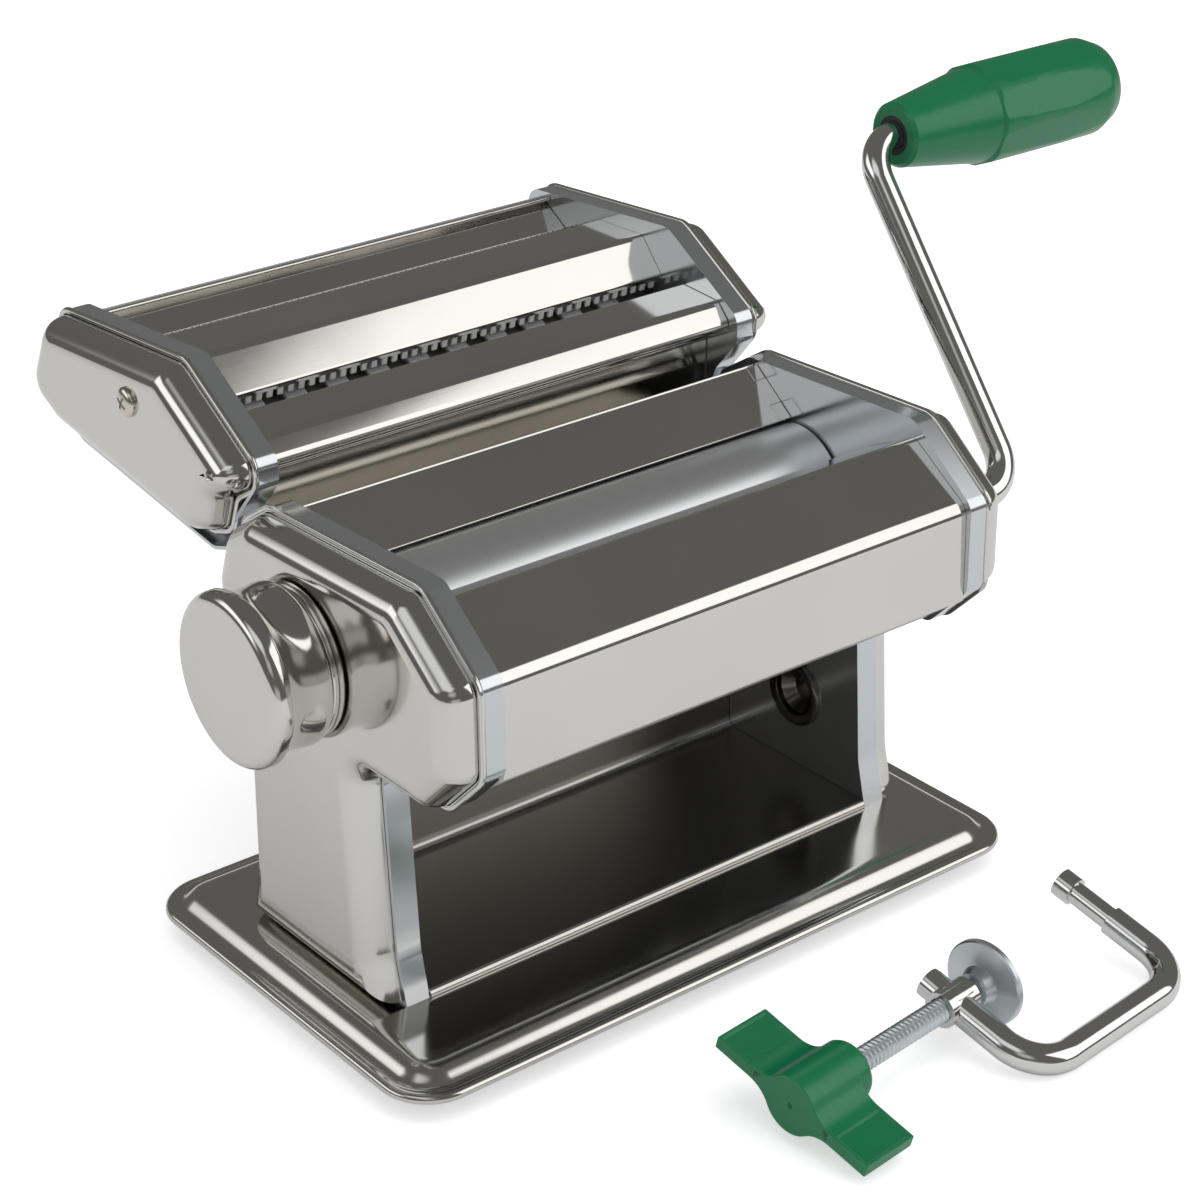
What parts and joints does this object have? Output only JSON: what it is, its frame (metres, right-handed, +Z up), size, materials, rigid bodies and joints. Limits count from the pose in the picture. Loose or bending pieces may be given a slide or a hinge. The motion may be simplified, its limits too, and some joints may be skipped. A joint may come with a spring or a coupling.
{
  "type": "pasta roller machine",
  "caption": "Hand-cranked pasta roller machine on a footed base, with adjustable smoothing rollers, a lift-off two-width cutter unit and a loose table clamp.",
  "frame": {"origin": "on the table, in the middle of the four rubber feet", "axes": "+X along the rollers towards the crank, +Y towards the cutter unit, +Z up"},
  "size_m": [0.321, 0.2736, 0.1968],
  "materials": {
    "polished_steel": "mirror-polished stainless sheet",
    "plated_steel": "bright zinc plate",
    "roller_alloy": "fine turned satin",
    "spring_steel": "plain sheared sheet",
    "green_plastic": "moulded, satin gloss",
    "black_rubber": "moulded, matt"
  },
  "bodies": {
    "machine": {"base_plate": "polished_steel", "rubber_feet": "black_rubber", "left_frame": "polished_steel", "right_frame": "polished_steel", "left_cover": "polished_steel", "right_cover": "polished_steel", "front_cover": "polished_steel", "rear_cover": "polished_steel", "hopper_plate": "polished_steel", "catch_tray": "polished_steel", "tie_rods": "plated_steel", "frame_screws": "plated_steel", "roller_scrapers": "spring_steel", "front_bushes": "plated_steel", "clamp_socket": "polished_steel", "index_ring": "polished_steel", "cutter_rails": "polished_steel"},
    "drive": {"front_roller": "roller_alloy", "drive_gear": "plated_steel"},
    "crank": {"crank_handle": "polished_steel"},
    "grip": {"crank_grip": "green_plastic", "grip_bush": "black_rubber"},
    "rear_bearings": {"rear_bushes": "plated_steel"},
    "rear_roller": {"rear_roller": "roller_alloy", "rear_gear": "plated_steel"},
    "spindle": {"knob_spindle": "plated_steel"},
    "knob": {"knob_body": "polished_steel", "knob_cap": "polished_steel", "knob_spring": "plated_steel"},
    "cutter_unit": {"cutter_left_frame": "polished_steel", "cutter_right_frame": "polished_steel", "cutter_left_cover": "polished_steel", "cutter_right_cover": "polished_steel", "cutter_front_cover": "polished_steel", "cutter_middle_cover": "polished_steel", "cutter_rear_guide": "polished_steel", "cutter_rear_cover": "polished_steel", "cutter_tongues": "plated_steel", "cutter_tie_rods": "plated_steel", "cutter_cap_screws": "plated_steel", "cutter_bushes": "plated_steel", "wide_combs": "spring_steel", "fine_combs": "spring_steel"},
    "wide_front": {"wide_cutter_front": "roller_alloy", "wide_gear_front": "plated_steel"},
    "wide_rear": {"wide_cutter_rear": "roller_alloy", "wide_gear_rear": "plated_steel"},
    "fine_front": {"fine_cutter_front": "roller_alloy", "fine_gear_front": "plated_steel"},
    "fine_rear": {"fine_cutter_rear": "roller_alloy", "fine_gear_rear": "plated_steel"},
    "clamp": {"clamp_frame": "polished_steel"},
    "clamp_pad": {"clamp_pad": "plated_steel"},
    "clamp_screw": {"clamp_screw": "plated_steel", "clamp_wing": "green_plastic"}
  },
  "joints": [
    {"name": "crank_turn", "type": "hinge", "parent": "machine", "child": "drive", "pos_m": [0, -0.0377, 0.1005], "axis": [1, 0, 0], "continuous": true},
    {"name": "crank_pull", "type": "slide", "parent": "drive", "child": "crank", "axis": [1, 0, 0], "range_m": [0, 0.05]},
    {"name": "grip_spin", "type": "hinge", "parent": "crank", "child": "grip", "pos_m": [0.17, 0.02476, 0.1819], "axis": [1, 0, 0], "continuous": true},
    {"name": "roller_shift", "type": "slide", "parent": "machine", "child": "rear_bearings", "axis": [0, -1, 0], "range_m": [0, 0.0025]},
    {"name": "rear_roller_turn", "type": "hinge", "parent": "rear_bearings", "child": "rear_roller", "pos_m": [0, 0, 0.1005], "axis": [1, 0, 0], "continuous": true},
    {"name": "thickness_turn", "type": "hinge", "parent": "machine", "child": "spindle", "pos_m": [0, 0, 0.1005], "axis": [1, 0, 0], "range_deg": [0, 170]},
    {"name": "knob_pull", "type": "slide", "parent": "spindle", "child": "knob", "axis": [-1, 0, 0], "range_m": [0, 0.003], "stiffness_N_per_m": 900, "springref_m": -0.002, "deforming": ["knob_spring"]},
    {"name": "cutter_lift", "type": "slide", "parent": "machine", "child": "cutter_unit", "axis": [0, 0, 1], "range_m": [0, 0.04]},
    {"name": "wide_front_turn", "type": "hinge", "parent": "cutter_unit", "child": "wide_front", "pos_m": [0, 0.0515, 0.1288], "axis": [1, 0, 0], "continuous": true},
    {"name": "wide_rear_turn", "type": "hinge", "parent": "cutter_unit", "child": "wide_rear", "pos_m": [0, 0.068, 0.13062], "axis": [1, 0, 0], "continuous": true},
    {"name": "fine_front_turn", "type": "hinge", "parent": "cutter_unit", "child": "fine_front", "pos_m": [0, 0.08679, 0.1327], "axis": [1, 0, 0], "continuous": true},
    {"name": "fine_rear_turn", "type": "hinge", "parent": "cutter_unit", "child": "fine_rear", "pos_m": [0, 0.10329, 0.13452], "axis": [1, 0, 0], "continuous": true},
    {"name": "clamp_lift", "type": "slide", "parent": "machine", "child": "clamp", "axis": [0, 0, 1], "range_m": [0, 0.1]},
    {"name": "clamp_feed", "type": "slide", "parent": "clamp", "child": "clamp_pad", "axis": [0.9943, 0.1063, 0], "range_m": [0, 0.0299]},
    {"name": "clamp_turn", "type": "hinge", "parent": "clamp_pad", "child": "clamp_screw", "pos_m": [0.02556, -0.11389, 0.01165], "axis": [0.9943, 0.1063, 0], "range_deg": [0, 7199]}
  ],
  "couplings": [
    {"joint": "rear_roller_turn", "follows": "crank_turn", "ratio": -1},
    {"joint": "thickness_turn", "follows": "roller_shift", "rad_per_m": 1186.8},
    {"joint": "wide_rear_turn", "follows": "wide_front_turn", "ratio": -1},
    {"joint": "fine_rear_turn", "follows": "fine_front_turn", "ratio": -1},
    {"joint": "clamp_turn", "follows": "clamp_feed", "rad_per_m": 4188.8}
  ]
}
